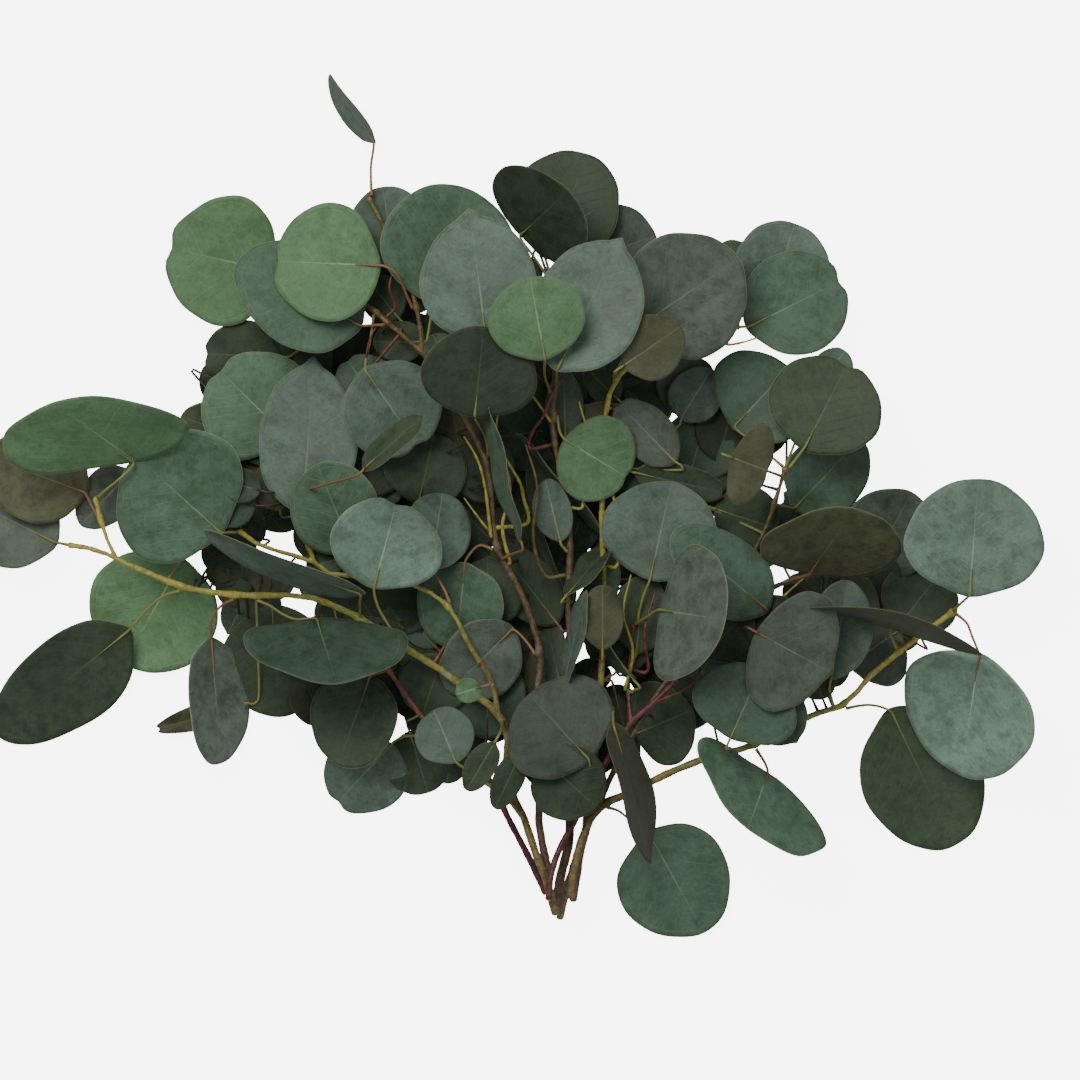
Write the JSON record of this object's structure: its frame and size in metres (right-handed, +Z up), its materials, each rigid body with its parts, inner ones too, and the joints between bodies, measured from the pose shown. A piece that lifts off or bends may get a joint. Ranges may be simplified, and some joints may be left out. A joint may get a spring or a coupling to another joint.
{
  "type": "eucalyptus branch",
  "caption": "Gathered bunch of cut eucalyptus branches, lying down, with round blue-green leaves on thin stalks.",
  "frame": {"origin": "centre of the bunch's footprint, on the surface it lies on", "axes": "+X across the bunch, +Y from the cut stem ends to the leaf tips, +Z up"},
  "size_m": [0.5656, 0.4552, 0.0987],
  "materials": {
    "leaf_fresh": "satin",
    "leaf_green": "satin",
    "leaf_glaucous": "satin",
    "leaf_grey": "satin",
    "leaf_dark": "satin",
    "leaf_olive": "satin",
    "yellow_twig": "matte",
    "brown_bark": "matte",
    "red_bark": "matte"
  },
  "bodies": {
    "root": {"branch_brown_centre": "brown_bark", "branch_core_left": "brown_bark", "branch_left_long": "yellow_twig", "branch_maroon_front": "red_bark", "branch_red_left": "red_bark", "branch_right_inner": "brown_bark", "branch_right_long": "yellow_twig", "branch_yellow_centre": "yellow_twig", "leaf_centre_back": "leaf_dark", "leaf_centre_left_1": "leaf_glaucous", "leaf_centre_left_2": "leaf_glaucous", "leaf_centre_left_3": "leaf_green", "leaf_centre_left_4": "leaf_glaucous", "leaf_centre_left_5": "leaf_green", "leaf_centre_left_6": "leaf_grey", "leaf_centre_right_1": "leaf_fresh", "leaf_centre_right_2": "leaf_glaucous", "leaf_centre_right_3": "leaf_green", "leaf_centre_right_4": "leaf_grey", "leaf_centre_top_1": "leaf_dark", "leaf_centre_top_2": "leaf_fresh", "leaf_front_1": "leaf_grey", "leaf_front_2": "leaf_olive", "leaf_left_1": "leaf_glaucous", "leaf_left_2": "leaf_fresh", "leaf_left_3": "leaf_green", "leaf_left_4": "leaf_fresh", "leaf_left_5": "leaf_dark", "leaf_left_6": "leaf_grey", "leaf_left_7": "leaf_olive", "leaf_left_8": "leaf_grey", "leaf_left_9": "leaf_green", "leaf_left_upper_1": "leaf_glaucous", "leaf_left_upper_2": "leaf_green", "leaf_low_left_1": "leaf_dark", "leaf_low_left_2": "leaf_glaucous", "leaf_low_left_3": "leaf_glaucous", "leaf_low_right_1": "leaf_green", "leaf_low_right_2": "leaf_glaucous", "leaf_low_right_3": "leaf_dark", "leaf_low_right_4": "leaf_green", "leaf_right_1": "leaf_glaucous", "leaf_right_2": "leaf_dark", "leaf_right_3": "leaf_green", "leaf_right_4": "leaf_olive", "leaf_right_5": "leaf_grey", "leaf_right_edge_on": "leaf_olive", "leaf_top_1": "leaf_green", "leaf_top_2": "leaf_dark", "leaf_top_3": "leaf_dark", "leaf_top_4": "leaf_glaucous", "leaf_top_5": "leaf_glaucous", "leaf_top_far": "leaf_glaucous", "leaf_top_left_1": "leaf_fresh", "leaf_top_left_2": "leaf_green", "leaf_top_left_3": "leaf_fresh", "leaf_top_right_1": "leaf_grey", "leaf_top_right_2": "leaf_green", "leaf_top_right_3": "leaf_glaucous", "leaf_top_right_4": "leaf_green"}
  },
  "joints": []
}
